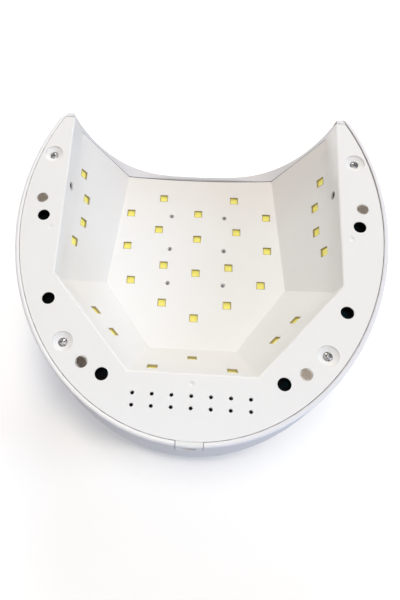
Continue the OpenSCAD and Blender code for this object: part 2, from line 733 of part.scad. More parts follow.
module reflector_liner() color("#eeedea") {
    difference() {
        union() {
            cavity_form(cavity_wall, 0, 0, cavity_h + ceiling_t);
            linear_extrude(flange_t) intersection() {
                plan(shell_wall + liner_fit);
                translate([-half_w, tip_y]) square([body_w, body_d]);
            }
            linear_extrude(flange_rim_h) difference() {
                intersection() {
                    plan(shell_wall + liner_fit);
                    translate([-half_w, tip_y]) square([body_w, body_d]);
                }
                plan(shell_wall + liner_fit + flange_rim_t);
            }
            intersection() {
                skin(concat(rounded_foot(rim_round, dome_seg), [ring(tab_h + 1, 1, plan_cy, 0, dome_seg)]));
                translate([-tab_w / 2, rear_y - tab_back, 0]) cube([tab_w, tab_back + 1, tab_h]);
            }
            both_sides() at_rim(case_screw_at) disc(liner_boss_d, liner_boss_h);
            both_sides() at_rim(peg_hole_at) disc(socket_boss_d, flange_rim_h);
            both_sides() at_rim(magnet_at) disc(magnet_d + 2 * boss_wall, magnet_top + magnet_floor);
            on_ceiling() collars(ceiling_leds_at, led, ceiling_screws_at);
            both_sides() on_side() collars(side_leds, side_led, side_screws);
            both_sides() on_quarter() collars(quarter_leds, quarter_led, quarter_screws);
            on_rear() collars(rear_leds_at, rear_led, rear_screws);
            both_sides() sensor_place() translate([0, 0, 1]) disc(sensor_d + 2 * sensor_wall, sensor_len - 2);
            inlet_cradle(cradle_wall, 0);
        }
        cavity_form(0, 3, -1, cavity_h, mouth_bevel);
        both_sides() at_rim(case_screw_at) screw_recess();
        both_sides() at_rim(peg_hole_at) {
            translate([0, 0, -1]) disc(peg_hole_d, flange_rim_h);
            translate([0, 0, peg_lip_t]) disc(socket_d + 2 * socket_fit, flange_rim_h);
        }
        both_sides() at_rim(magnet_at) translate([0, 0, -1]) disc(magnet_d + 2 * magnet_fit, 1 + magnet_top);
        both_sides() at_rim(dimple_at) dimple();
        translate([0, vent_y - dimple_front, 0]) dimple();
        for (k = [-3:3], row = [0, 1])
            translate([k * vent_pitch, vent_y + row * vent_row_gap, -1]) disc(vent_d, flange_t + 2);
        on_ceiling() {
            windows(ceiling_leds_at, led, ceiling_screws_at);
            at_points(ceiling_screws_at) translate([0, 0, -1]) disc(ceiling_hole_d, 1 + ceiling_hole_deep);
        }
        both_sides() on_side() windows(side_leds, side_led, side_screws);
        both_sides() on_quarter() windows(quarter_leds, quarter_led, quarter_screws);
        on_rear() windows(rear_leds_at, rear_led, rear_screws);
        both_sides() sensor_place() translate([0, 0, -4]) disc(sensor_d + 0.2, sensor_len + 5);
        inlet_place() translate([0, 0, -1]) disc(nose_d + 2 * inlet_fit, tab_back + 2);
        inlet_cradle(0, 1);
        // Fine line between the flange and the tab
        translate([0, 0, -1]) linear_extrude(1 + tab_line) intersection() {
            difference() {
                plan(shell_wall);
                plan(shell_wall + tab_line);
            }
            translate([-tab_w / 2, 0]) square([tab_w, body_d]);
        }
    }
}

// Recess of a case screw: a bevel, a wall, a dish down to the head's seat and the shank's hole
module screw_recess() {
    wall_z = recess_deep / 4;
    dish_z = recess_deep / 2;
    cylinder(d1 = recess_d + 2 * recess_bevel, d2 = recess_d, h = recess_bevel_deep, $fn = round_fn);
    disc(recess_d, wall_z);
    translate([0, 0, wall_z]) cylinder(d1 = recess_d, d2 = seat_d + 1, h = dish_z - wall_z, $fn = round_fn);
    translate([0, 0, dish_z]) disc(seat_d, recess_deep - dish_z);
    disc(case_shank_d + 2 * clear_gap, body_h);
}

module dimple() {
    ball = (pow(dimple_d / 2, 2) + pow(dimple_deep, 2)) / (2 * dimple_deep);
    translate([0, 0, dimple_deep - ball]) sphere(r = ball, $fn = round_fn);
}

// Frame of a hand sensor: z points out of the cavity, and z = 0 lies on the band's inner face
module sensor_place() {
    y = rim_at(case_screw_at[0])[1] + sensor_back;
    u = (y - mouth[0][1]) / (mouth[1][1] - mouth[0][1]);
    v = sensor_z / band_h;
    face = mix(mix(mouth[0], mouth[1], u), mix(crease[0], crease[1], u), v)[0];
    translate([face, y, sensor_z]) rotate([0, 90, 0]) children();
}
module sensor() {
    ball = sensor_d * 0.9;
    sensor_place() {
        intersection() {
            translate([0, 0, sensor_face]) disc(sensor_d, sensor_len - sensor_face);
            translate([0, 0, sensor_face + ball]) sphere(r = ball, $fn = round_fn);
        }
        translate([0, 0, sensor_len - 1]) disc(sensor_d + 0.9, 1);
    }
}

// Package of an emitter with its cup, and the lens that lies in it
module led_package(size) difference() {
    block(size, 0, board_off - led_t, board_off);
    block(size, -led_frame, board_off - led_t - 1, board_off - led_t + led_cup);
}
module led_lens(size) {
    reach = norm(size) / 2 - led_frame;
    crown = led_lens_h * 0.6;
    ball = (pow(reach, 2) + pow(crown, 2)) / (2 * crown);
    floor_z = board_off - led_t + led_cup;
    intersection() {
        block(size, -led_frame, floor_z - led_lens_h, floor_z);
        translate([0, 0, floor_z - led_lens_h + ball]) sphere(r = ball, $fn = round_fn);
    }
}
module board_screw() {
    translate([0, 0, board_off + board_t]) disc(board_head_d, board_head_h);
    translate([0, 0, screw_tip]) disc(board_shank_d, board_off + board_t - screw_tip);
}
module board_plate(outline, screws) {
    difference() {
        translate([0, 0, board_off]) linear_extrude(board_t) polygon(outline);
        at_points(screws) translate([0, 0, board_off - 1]) disc(board_shank_d + 2 * clear_gap, board_t + 2);
    }
}
function bar(half_l, half_h) = [[-half_l, -half_h], [half_l, -half_h], [half_l, half_h], [-half_l, half_h]];
led_half = led_side / 2;
rear_led_half = rear_led_l / 2;
side_outline = bar(side_led_far + led_half + board_end, side_led_step + led_half + board_side);
quarter_outline = bar(quarter_led_far + led_half + board_side, led_half + board_end + 1);
rear_half = rear_led_far + led_half + board_side;
rear_low = -rear_led_drop - rear_led_half - 1;
rear_high = rear_led_rise + rear_led_half + 1;
rear_step = -rear_led_drop + rear_led_half + board_side;
rear_neck = led_half + board_end;
rear_outline = [
    [-rear_half, rear_low], [rear_half, rear_low], [rear_half, rear_step],
    [rear_neck, rear_high], [-rear_neck, rear_high], [-rear_half, rear_step]
];
ceiling_outline = let (
    right = [
        [ceiling[0][0] - board_edge_gap, edge_y + lip_tail + board_edge_gap],
        [ceiling[1][0] - board_edge_gap, ceiling[1][1]],
        [ceiling[2][0] - board_edge_gap, ceiling[2][1] - board_edge_gap]
    ]
) concat(right, [for (k = [2:-1:0]) mirrored(right[k])]);

module ceiling_led_board() color("#e9ece8") on_ceiling() board_plate(ceiling_outline, ceiling_screws_at);
module right_led_board() color("#e9ece8") on_side() board_plate(side_outline, side_screws);
module left_led_board() on_left() right_led_board();
module rear_right_led_board() color("#e9ece8") on_quarter() board_plate(quarter_outline, quarter_screws);
module rear_left_led_board() on_left() rear_right_led_board();
module rear_led_board() color("#e9ece8") on_rear() board_plate(rear_outline, rear_screws);

module ceiling_leds() color("#d9cf9a") on_ceiling() at_points(ceiling_leds_at) led_package(led);
module right_leds() color("#d9cf9a") on_side() at_points(side_leds) led_package(side_led);
module left_leds() on_left() right_leds();
module rear_right_leds() color("#d9cf9a") on_quarter() at_points(quarter_leds) led_package(quarter_led);
module rear_left_leds() on_left() rear_right_leds();
module rear_leds() color("#d9cf9a") on_rear() at_points(rear_leds_at) led_package(rear_led);

module ceiling_lenses() color("#eedf52") on_ceiling() at_points(ceiling_leds_at) led_lens(led);
module right_lenses() color("#eedf52") on_side() at_points(side_leds) led_lens(side_led);
module left_lenses() on_left() right_lenses();
module rear_right_lenses() color("#eedf52") on_quarter() at_points(quarter_leds) led_lens(quarter_led);
module rear_left_lenses() on_left() rear_right_lenses();
module rear_lenses() color("#eedf52") on_rear() at_points(rear_leds_at) led_lens(rear_led);

module ceiling_board_screws() color("#3c3d40") on_ceiling() at_points(ceiling_screws_at) board_screw();
module wall_board_screws() color("#8c8f94") {
    both_sides() on_side() at_points(side_screws) board_screw();
    both_sides() on_quarter() at_points(quarter_screws) board_screw();
    on_rear() at_points(rear_screws) board_screw();
}

module case_screw() {
    head_z = recess_deep - case_head_h;
    ball = (pow(case_head_d / 2, 2) + pow(case_crown, 2)) / (2 * case_crown);
    difference() {
        intersection() {
            translate([0, 0, head_z]) disc(case_head_d, case_head_h);
            translate([0, 0, head_z + ball]) sphere(r = ball, $fn = round_fn);
        }
        for (a = [20, 110]) rotate([0, 0, a]) block([cross_l, cross_w], 0, head_z - 1, head_z + cross_deep);
    }
    translate([0, 0, recess_deep]) disc(case_shank_d, case_shank_len);
}
module case_screws() color("#9a9da1") both_sides() at_rim(case_screw_at) case_screw();
module tray_magnets() color("#8b8378")
    both_sides() at_rim(magnet_at) translate([0, 0, magnet_sink]) disc(magnet_d, magnet_t);

// Dark strip of foam that closes the gap between the lip and the liner's front edge to light
module light_seal() color("#55565b") difference() {
    cavity_form(cavity_wall - liner_fit, lip_gap - pilot_gap, 0, cavity_h + ceiling_t - liner_fit);
    cavity_form(strip_sink, lip_gap + 1, -1, cavity_h);
    cavity_form(cavity_wall, 0, -1, cavity_h + ceiling_t);
    translate([-half_w, -body_d, -1]) cube([body_w, 2 * body_d, 1 + flange_t + liner_fit]);
}

module tray_sockets() color("#1b1b1d")
    both_sides() at_rim(peg_hole_at) translate([0, 0, peg_lip_t]) difference() {
        disc(socket_d, socket_deep + socket_floor);
        translate([0, 0, -1]) disc(peg_hole_d, socket_deep + 1);
    }

module ir_receiver() color("#23201f") sensor();
module ir_emitter() on_left() ir_receiver();

module main_board() color("#2f6b46") difference() {
    translate([0, crown_y, main_z - board_t]) rounded_plate(main_w, main_l, 2, board_t);
    at_main_posts(main_z - board_t - 1) disc(board_shank_d + 2 * clear_gap, board_t + 2);
}
module main_board_screws() color("#8c8f94") at_main_posts(main_z - board_t) {
    translate([0, 0, -board_head_h]) disc(board_head_d, board_head_h);
    disc(board_shank_d, board_t + main_bite);
}

// Parts below the main board, placed from its middle, and on the ceiling's board
module under_main(p) translate([p[0], crown_y + p[1], main_z - board_t]) mirror([0, 0, 1]) children();
module on_led_board(p) translate([p[0], p[1], ceiling_board_z + board_t]) children();
module control_chip() color("#1f2022")
    under_main(chip_at) block([chip_l, chip_w], 0, chip_stand, chip_stand + chip_h);
module chip_leads() color("#b9babd") under_main(chip_at)
    for (k = [0:chip_leads_n - 1], s = [-1, 1])
        translate([(k - (chip_leads_n - 1) / 2) * chip_pitch, s * (chip_w + lead_l) / 2, 0]) {
            block([lead_w, lead_l], 0, 0, lead_t);
            translate([0, -s * lead_l / 4, 0]) block([lead_w, lead_l / 2], 0, 0, chip_h / 2 + lead_t);
        }
module storage_capacitors() color("#2c3140") for (p = caps_at) under_main(p) disc(cap_d, cap_h);
module power_inductor() color("#4a4b4f") under_main(coil_at) difference() {
    union() {
        block([coil_w, coil_w], 0, 0, coil_foot_t);
        disc(coil_w - coil_foot_t / 2, coil_h);
    }
    translate([0, 0, coil_h - coil_foot_t / 2]) disc(coil_w / 3, coil_foot_t);
}
// Socket of n pins, standing on a board and open on its far side
module board_socket(n) {
    size = [(n + 1) * pin_pitch, socket_l];
    difference() {
        block(size, 0, 0, socket_h);
        block(size, -socket_side_t, socket_floor_t, socket_h + 1);
    }
}
module pins(n) for (k = [0:n - 1])
    translate([(k - (n - 1) / 2) * pin_pitch, 0, 0]) block([pin_w, pin_w], 0, socket_floor_t, socket_h - 1);
module board_sockets() color("#e6e2d6")
    for (k = [0:2]) under_main(main_sockets_at[k]) board_socket(main_pins[k]);
module led_board_sockets() color("#e6e2d6") for (p = led_sockets_at) on_led_board(p) board_socket(led_pins);
module socket_pins() color("#c9c4b6") {
    for (k = [0:2]) under_main(main_sockets_at[k]) pins(main_pins[k]);
    for (p = led_sockets_at) on_led_board(p) pins(led_pins);
}

module tact_switches() color("#2b2c2e") at_buttons(main_z) difference() {
    block([switch_side, switch_side], 0, 0, switch_h);
    translate([0, 0, switch_h - plunger_seat]) disc(plunger_d + 2 * pilot_gap, plunger_seat + 1);
}
module switch_plunger(k) color("#3a3b3e") {
    low = main_z + switch_h - plunger_seat + button_travel + plunger_gap;
    translate([switch_xs[k], button_y, low]) disc(plunger_d, plunger_top - low);
}
module switch_plunger_10() switch_plunger(0);
module switch_plunger_30() switch_plunger(1);
module switch_plunger_60() switch_plunger(2);
module switch_plunger_99() switch_plunger(3);
module timer_button(k) color("#e6e7ea") intersection() {
    translate([switch_xs[k], button_y, 0]) {
        translate([0, 0, button_flange_z - button_flange_t]) disc(button_d, body_h);
        translate([0, 0, button_flange_z - button_flange_t]) disc(2 * button_reach, button_flange_t);
        translate([0, 0, plunger_top]) disc(stem_d, body_h - plunger_top);
    }
    crown_ball(-button_proud);
}
module timer_button_10() timer_button(0);
module timer_button_30() timer_button(1);
module timer_button_60() timer_button(2);
module timer_button_99() timer_button(3);

module display_module() color("#1d1d20")
    translate([-display_w / 2, window_y - display_l / 2, main_z])
        cube([display_w, display_l, window_plate_z - display_gap - main_z]);
module display_window() color("#26262b") intersection() {
    translate([0, window_y, window_plate_z]) {
        window_slab(window_ledge, window_plate_t);
        window_slab(0, body_h);
    }
    crown_ball(0.2);
}

// Frame of the inlet: z points into the lamp from the back of the shell
module inlet_place() translate([0, rear_y, inlet_z]) rotate([90, 0, 0]) children();
// Block round the inlet's body, grown sideways by grow; rise lifts its top clear of the cradle
module inlet_cradle(grow, rise) {
    half = inlet_side / 2 + inlet_fit + grow;
    low = rise > 0 ? inlet_z - inlet_side / 2 : flange_t / 2;
    translate([-half, rear_y - tab_back - inlet_len - inlet_fit - grow, low])
        cube([2 * half, inlet_len + inlet_fit + grow, inlet_z + rise * body_h - low]);
}
module dc_jack() color("#18181a") difference() {
    union() {
        inlet_place() translate([0, 0, nose_sink]) disc(nose_d, tab_back - nose_sink + 1);
        inlet_place() block([inlet_side, inlet_side], 0, tab_back, tab_back + inlet_len);
    }
    inlet_place() disc(inlet_bore_d, inlet_end);
    inlet_place() disc(inlet_pin_d + 2 * pilot_gap, inlet_end + pin_root);
}
module dc_jack_pin() color("#c9c4b6")
    inlet_place() translate([0, 0, pin_tip]) disc(inlet_pin_d, inlet_end + pin_root - pin_tip);

outer_shell();
reflector_liner();
ceiling_led_board();
left_led_board();
right_led_board();
rear_left_led_board();
rear_right_led_board();
rear_led_board();
ceiling_leds();
left_leds();
right_leds();
rear_left_leds();
rear_right_leds();
rear_leds();
ceiling_lenses();
left_lenses();
right_lenses();
rear_left_lenses();
rear_right_lenses();
rear_lenses();
ceiling_board_screws();
wall_board_screws();
case_screws();
tray_magnets();
light_seal();
tray_sockets();
ir_emitter();
ir_receiver();
main_board();
main_board_screws();
control_chip();
chip_leads();
storage_capacitors();
power_inductor();
board_sockets();
led_board_sockets();
socket_pins();
tact_switches();
switch_plunger_10();
switch_plunger_30();
switch_plunger_60();
switch_plunger_99();
timer_button_10();
timer_button_30();
timer_button_60();
timer_button_99();
display_module();
display_window();
dc_jack();
dc_jack_pin();
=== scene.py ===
import math

import bpy
from mathutils import Euler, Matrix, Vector


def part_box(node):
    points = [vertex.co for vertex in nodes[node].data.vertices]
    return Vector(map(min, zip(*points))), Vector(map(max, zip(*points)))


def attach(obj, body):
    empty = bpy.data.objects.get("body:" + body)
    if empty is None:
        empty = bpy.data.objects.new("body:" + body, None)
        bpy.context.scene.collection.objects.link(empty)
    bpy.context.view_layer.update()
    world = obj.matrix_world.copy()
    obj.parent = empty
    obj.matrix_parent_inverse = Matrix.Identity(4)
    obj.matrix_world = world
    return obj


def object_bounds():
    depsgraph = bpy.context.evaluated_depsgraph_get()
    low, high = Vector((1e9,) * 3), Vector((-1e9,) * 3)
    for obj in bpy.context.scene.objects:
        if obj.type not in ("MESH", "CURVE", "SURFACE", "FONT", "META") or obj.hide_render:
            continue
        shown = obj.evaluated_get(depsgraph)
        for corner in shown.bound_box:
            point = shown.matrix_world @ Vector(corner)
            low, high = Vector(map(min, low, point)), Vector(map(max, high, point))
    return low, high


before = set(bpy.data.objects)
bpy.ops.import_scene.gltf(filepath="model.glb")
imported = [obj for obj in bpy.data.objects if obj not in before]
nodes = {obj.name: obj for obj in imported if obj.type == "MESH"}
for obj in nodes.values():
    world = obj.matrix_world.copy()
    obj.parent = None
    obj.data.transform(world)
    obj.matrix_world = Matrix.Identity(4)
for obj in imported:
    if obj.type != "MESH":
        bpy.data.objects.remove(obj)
cad_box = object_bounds()
mm = 0.001

# Camera, fitted to the photograph of the lamp's underside
photo_height_px = 600
photo_centre_px = (200, 300)
optical_centre_px = (152.6, 299.5)
focal_px = 550
sensor_width_mm = 36
camera_place = (-3.8 * mm, 140.4 * mm, -284.0 * mm)
camera_turn_deg = (-157.66, -2.395, -4.03)
clip_near = 0.01
clip_far = 20

# Places on the shell: each pair gives where an effect begins and where it is full
lip_end_y_mm = (-94.9, -93.7)
arch_y_mm = (-60, -75)
arch_z_mm = (22, 48)
nose_y_mm = (-94, -98)
nose_z_mm = (40, 60)
base_edge_z_mm = (3, 1.5)
shell_foot_z_mm = (5, 3.5)
right_side_x_mm = (20, 80)
# Painted highlight on the rim, strongest on the left
rim_highlight_x_mm = (60, -20)

# Places on the liner
cavity_z_mm = (3, 12)
bevel_z_mm = (1.2, 0.4)
flange_z_mm = (1, 0.5)
rear_flange_y_mm = (20, 95)
cavity_front_x_mm = (-75, -45)
cavity_front_y_mm = (-35, -95)
cavity_left_x_mm = (-50, -75)
cavity_rear_y_mm = (-40, -5)

# Places of the painted shade along the gap, and of the magnets' painted shade and pale rims
gap_shade_x_mm = (20, 90)
gap_shade_y_mm = (-10, -70)
magnet_shade_x_mm = (60, -60)
magnet_shade_y_mm = (10, 45)
magnet_rim_mm = (2.7, 3.4)

# Ellipse of the gap between shell and liner, and bands along it in the measure of across_gap
gap_middle_y_mm = -30
gap_half_mm = (106.8, 131.3)
liner_edge = (0.993, 0.996)
gap_line_inner = (0.997, 0.999)
gap_line_outer = (1.0055, 1.003)
rim_inner = (1.0, 1.003)
rim_outer = (1.012, 1.009)

# Surfaces are smoothed up to this angle, by the faces' areas, after corners this close are joined
crisp_from_deg = 28
weld_reach = 0.002 * mm
area_weight = 100

# Numbers printed on the buttons
button_texts = ("10", "30", "60", "99")
number_height = 4.6 * mm
font_per_height = 1.4
print_start = 2 * mm
print_rise = 0.04 * mm

# Stage: one sheet under the lamp as it stands and one behind its crown, each seen from its own side
sheet_width = 8
sheet_gap = 0.2 * mm
floor_tone = 0.84
sheet_white = (1.09, 1.075, 1.045)
cloud_depth = 0.98
sheet_lift = 0.07
fade_mm = (500, 1800)
# Colour of the painted shadow, and a painted cooler light on the sheet's left
shade_tint = (0.655, 0.675, 0.725)
left_tint = (0.975, 0.99, 1.03)

# Painted soft shadow on the sheet: an ellipse, and shares of it by which the shadow reaches past
# its edge
shade_middle_mm = (1.5, -40, 0)
shade_half_mm = (124, 138)
shade_edge = 0.99
shade_reach = 0.045
shade_reach_left = 0.13
shade_reach_far_left = 0.10

# Bands across and along that ellipse, which runs from -1 to 1, for the painted shadow and the
# sheet's painted cool tint
left_band = (-0.25, -0.65)
far_left_band = (-0.62, -0.9)
right_fade = (0.55, 0)
left_fade = (-1.25, -0.7)
front_fade = (0, 0.3)
tinted_band = (-0.6, -1.0)

# Light: a tinted world, which the camera sees as plain white, and round lamps: place, watts, colour
world_strength = 0.455
world_low = (1.0, 0.95, 0.903, 1)
world_high = (0.96, 0.975, 1.04, 1)
world_turns = (-0.1, 0.2)
lamp_width = 1.2
lamps = {
    "lamp_below": ((0, 0.1, -3.0), 29.4, (1.0, 1.0, 1.0)),
    "lamp_right": ((2.6, 0.1, -1.5), 25.0, (0.69, 0.80, 1.0)),
    "lamp_front": ((0, -2.6, -1.5), 25.5, (1.0, 0.96, 0.85)),
    "lamp_behind": ((2.0, 1.9, 0.35), 28.0, (0.55, 0.70, 0.96)),
    "lamp_above": ((-1.2, -1.6, 2.6), 56.0, (1.0, 0.99, 0.97)),
}


def place_camera():
    data = bpy.data.cameras.new("photo_camera")
    data.sensor_width = sensor_width_mm
    data.lens = sensor_width_mm * focal_px / photo_height_px
    data.shift_x = (photo_centre_px[0] - optical_centre_px[0]) / photo_height_px
    data.shift_y = (optical_centre_px[1] - photo_centre_px[1]) / photo_height_px
    data.clip_start = clip_near
    data.clip_end = clip_far
    camera = bpy.data.objects.new("photo_camera", data)
    camera.location = camera_place
    camera.rotation_euler = Euler([math.radians(a) for a in camera_turn_deg])
    bpy.context.scene.collection.objects.link(camera)
    bpy.context.scene.camera = camera


# Shader maths: an expression on values adds its nodes
class Value:
    """One output of a node, on which arithmetic can be done."""

    def __init__(self, graph, link):
        self.graph = graph
        self.link = link

    def maths(self, operation, *others):
        return self.graph.maths(operation, self, *others)

    def __add__(self, other):
        return self.maths("ADD", other)

    def __radd__(self, other):
        return self.maths("ADD", other)

    def __sub__(self, other):
        return self.maths("SUBTRACT", other)

    def __rsub__(self, other):
        return self.graph.maths("SUBTRACT", other, self)

    def __mul__(self, other):
        return self.maths("MULTIPLY", other)

    def __rmul__(self, other):
        return self.maths("MULTIPLY", other)

    def __truediv__(self, other):
        return self.maths("DIVIDE", other)

    def __lt__(self, other):
        return self.maths("LESS_THAN", other)

    def ramped(self, start, full, kind="SMOOTHSTEP"):
        """0 up to the start, 1 from full on, and a smooth or straight rise between."""
        values = {"Value": self, "From Min": start, "From Max": full}
        return self.graph.node("ShaderNodeMapRange", {"interpolation_type": kind}, values)


class Graph:
    """The node tree of a material or of the world, under construction."""

    def __init__(self, tree):
        self.tree = tree
        self.tree.nodes.clear()

    def node(self, kind, settings=None, values=None, out=0):
        made = self.tree.nodes.new(kind)
        for key, setting in (settings or {}).items():
            setattr(made, key, setting)
        for key, value in (values or {}).items():
            if isinstance(value, Value):
                self.tree.links.new(value.link, made.inputs[key])
            else:
                made.inputs[key].default_value = value
        return Value(self, made.outputs[out])

    def maths(self, operation, *values):
        return self.node("ShaderNodeMath", {"operation": operation}, dict(enumerate(values)))

    def vector_maths(self, operation, *values, out=0):
        settings = {"operation": operation}
        return self.node("ShaderNodeVectorMath", settings, dict(enumerate(values)), out=out)

    def axes(self, vector):
        """The three parts of a place or direction."""
        first = self.node("ShaderNodeSeparateXYZ", {}, {0: vector})
        return [Value(self, output) for output in first.link.node.outputs]

    def blend(self, share, first, second):
        values = {0: share, 6: first, 7: second}
        return self.node("ShaderNodeMix", {"data_type": "RGBA"}, values, out=2)

    def tinted(self, share, colour, tint):
        """Colour multiplied by a tint over a share of the surface."""
        settings = {"data_type": "RGBA", "blend_type": "MULTIPLY"}
        return self.node("ShaderNodeMix", settings, {0: share, 6: colour, 7: (*tint, 1)}, out=2)

    def mixed_shader(self, share, first, second):
        return self.node("ShaderNodeMixShader", {}, {0: share, 1: first, 2: second})

    def output(self, shader, kind="ShaderNodeOutputMaterial"):
        output = self.tree.nodes.new(kind)
        self.tree.links.new(shader.link, output.inputs["Surface"])


class Finish(Graph):
    """A material, with patterns that are sized in millimetres."""

    def __init__(self, name):
        self.material = bpy.data.materials.new(name)
        self.material.use_nodes = True
        super().__init__(self.material.node_tree)

    def place_mm(self):
        """Place on the piece in millimetres."""
        place = self.node("ShaderNodeTexCoord", out="Object")
        values = {0: place, "Scale": 1 / mm}
        return self.node("ShaderNodeVectorMath", {"operation": "SCALE"}, values)

    def turn(self):
        """Direction that the surface faces, as its X, Y and Z parts."""
        return self.axes(self.node("ShaderNodeTexCoord", out="Normal"))

    def noise(self, place, per_mm, detail=2.0, rough=0.5):
        values = {"Vector": place, "Scale": per_mm, "Detail": detail, "Roughness": rough}
        return self.node("ShaderNodeTexNoise", {}, values)

    def stretched(self, place, along):
        return self.vector_maths("MULTIPLY", place, along)

    def specks(self, place, spacing_mm, size_mm, share):
        """Mask of small round specks in a share of the cells of a loose grid."""
        settings = {"feature": "F1"}
        values = {"Vector": place, "Scale": 1 / spacing_mm}
        away = self.node("ShaderNodeTexVoronoi", settings, values)
        tint = self.node("ShaderNodeTexVoronoi", settings, values, out="Color")
        pick = self.node("ShaderNodeSeparateColor", {}, {"Color": tint}, out="Red")
        return (away < size_mm / spacing_mm) * (pick < share)

    def bumped(self, height, relief_mm, round_mm=0.0):
        """Normal with a relief, and with edges rounded off where a radius is given."""
        values = {"Strength": 1.0, "Distance": relief_mm * mm, "Height": height}
        if round_mm:
            radius = {"Radius": round_mm * mm}
            values["Normal"] = self.node("ShaderNodeBevel", {"samples": 4}, radius)
        return self.node("ShaderNodeBump", {}, values)

    def surface(self, **values):
        """Finishes the material with a shader whose sockets are named with _ for each space."""
        named = {key.replace("_", " "): value for key, value in values.items()}
        self.output(self.node("ShaderNodeBsdfPrincipled", {}, named))
        return self.material


# Finishes of the case
def across_gap(x, y):
    """1 where the shell meets the liner, and outwards a hundredth more every 1.1 to 1.3 mm."""
    wide = x / gap_half_mm[0]
    deep = (y - gap_middle_y_mm) / gap_half_mm[1]
    return (wide * wide + deep * deep).maths("SQRT")


def gap_shade_share(x, y):
    """Share of painted shade along the gap: most at the front right, none on the left."""
    return x.ramped(*gap_shade_x_mm) * (0.35 + 0.65 * y.ramped(*gap_shade_y_mm))


def shell_plastic():
    """Gloss white, matt along the base edge, with painted shade inside the arch and along the gap,
    and a painted highlight on the rim.
    """
    f = Finish("shell_plastic")
    place = f.place_mm()
    x, y, z = f.axes(place)
    turn_x, turn_y, turn_z = f.turn()
    cloud = f.noise(place, per_mm=0.03)
    grain = f.noise(place, per_mm=1.6, detail=3)
    scuff = f.noise(f.stretched(place, (0.15, 1.3, 0.5)), per_mm=0.8, detail=4).ramped(0.62, 0.75)
    facing_down = turn_z.ramped(-0.12, -0.5)
    under_arch = facing_down * z.ramped(*arch_z_mm) * y.ramped(*arch_y_mm)
    lip = under_arch * turn_y.ramped(-0.75, -0.45)
    at_liner = lip * y.ramped(*lip_end_y_mm)
    facing_front = turn_y.ramped(-0.6, -0.85)
    nose = facing_front * z.ramped(*nose_z_mm) * y.ramped(*nose_y_mm)
    outwards = across_gap(x, y)
    base_edge = z.ramped(*base_edge_z_mm)
    rim = base_edge * outwards.ramped(*rim_inner) * outwards.ramped(*rim_outer)
    painted_rim_highlight = rim * x.ramped(*rim_highlight_x_mm)
    gap_line = base_edge * outwards.ramped(*gap_line_inner) * outwards.ramped(*gap_line_outer)
    gap_shade = gap_line * gap_shade_share(x, y)
    facing_left = turn_x.ramped(-0.3, -0.8)
    gap_wall_shade = facing_left * z.ramped(*shell_foot_z_mm) * x.ramped(*right_side_x_mm)
    colour = f.blend(cloud, (0.79, 0.79, 0.828, 1), (0.82, 0.817, 0.852, 1))
    # Painted shade: the lip inside the arch is greyer, and darkest where it meets the liner
    colour = f.tinted(lip, colour, (0.92, 0.90, 0.885))
    colour = f.tinted(nose, colour, (0.91, 0.91, 0.92))
    colour = f.tinted(at_liner, colour, (0.6, 0.59, 0.59))
    # Painted highlight: a pale strip on the rim beside the gap, on the left
    colour = f.blend(painted_rim_highlight, colour, (0.95, 0.95, 0.94, 1))
    # Painted shade along the gap line, deepest at the front right
    colour = f.tinted(gap_shade, colour, (0.42, 0.38, 0.36))
    return f.surface(
        # Painted shade on the shell's inner wall in the gap at the right side
        Base_Color=f.tinted(gap_wall_shade, colour, (0.30, 0.25, 0.23)),
        Roughness=0.26 + 0.06 * grain + 0.10 * scuff + 0.24 * base_edge,
        Coat_Weight=0.15 - 0.15 * base_edge,
        Coat_Roughness=0.12,
        Normal=f.bumped(grain, relief_mm=0.012),
    )


def liner_plastic():
    """Semi-matt white with soft moulding drift, painted cooler light on the rear flange, painted
    warm shade in the cavity, a painted highlight on the bevel and painted shade along the gap.
    """
    f = Finish("liner_plastic")
    place = f.place_mm()
    x, y, z = f.axes(place)
    turn_z = f.turn()[2]
    cloud = f.noise(place, per_mm=0.025, detail=3)
    grain = f.noise(place, per_mm=3.5, detail=3, rough=0.6)
    ripple = f.noise(place, per_mm=0.12, detail=1)
    dust = f.specks(place, spacing_mm=17, size_mm=0.35, share=0.10)
    leaning = turn_z.ramped(-0.97, -0.85) * turn_z.ramped(-0.3, -0.5)
    bevel_highlight = z.ramped(*bevel_z_mm) * leaning
    cavity = z.ramped(*cavity_z_mm)
    rear_flange = y.ramped(*rear_flange_y_mm) * (1 - cavity)
    front = cavity * y.ramped(*cavity_front_y_mm) * x.ramped(*cavity_front_x_mm)
    left_rear = cavity * x.ramped(*cavity_left_x_mm) * y.ramped(*cavity_rear_y_mm)
    edge = across_gap(x, y).ramped(*liner_edge) * z.ramped(*flange_z_mm)
    gap_shade = edge * gap_shade_share(x, y)
    colour = f.blend(cloud, (0.842, 0.838, 0.828, 1), (0.874, 0.870, 0.860, 1))
    # Painted light: cooler on the rear flange, and warm painted shade in the cavity's front and
    # rear left
    colour = f.tinted(rear_flange, colour, (0.985, 0.995, 1.015))
    colour = f.tinted(front, colour, (0.945, 0.91, 0.885))
    colour = f.tinted(left_rear, colour, (0.95, 0.935, 0.905))
    # Painted highlight along the mouth's bevel
    colour = f.blend(bevel_highlight * 0.55, colour, (0.95, 0.95, 0.945, 1))
    # Painted shade along the liner's edge at the gap, deepest at the front right
    colour = f.tinted(gap_shade, colour, (0.50, 0.45, 0.42))
    return f.surface(
        Base_Color=f.blend(dust * 0.35, colour, (0.42, 0.40, 0.38, 1)),
        Roughness=0.42 + 0.10 * grain,
        Normal=f.bumped(grain * 0.3 + ripple, relief_mm=0.03, round_mm=0.3),
    )


# Finishes of the small pieces
def moulded_plastic(name, dark, light, rough):
    """Small moulded piece: fine grain, slight colour drift and softened edges."""
    f = Finish(name)
    place = f.place_mm()
    cloud = f.noise(place, per_mm=0.3, detail=3)
    grain = f.noise(place, per_mm=4.0, detail=3)
    return f.surface(
        Base_Color=f.blend(cloud, dark, light),
        Roughness=rough + 0.12 * grain,
        Normal=f.bumped(grain, relief_mm=0.015, round_mm=0.12),
    )


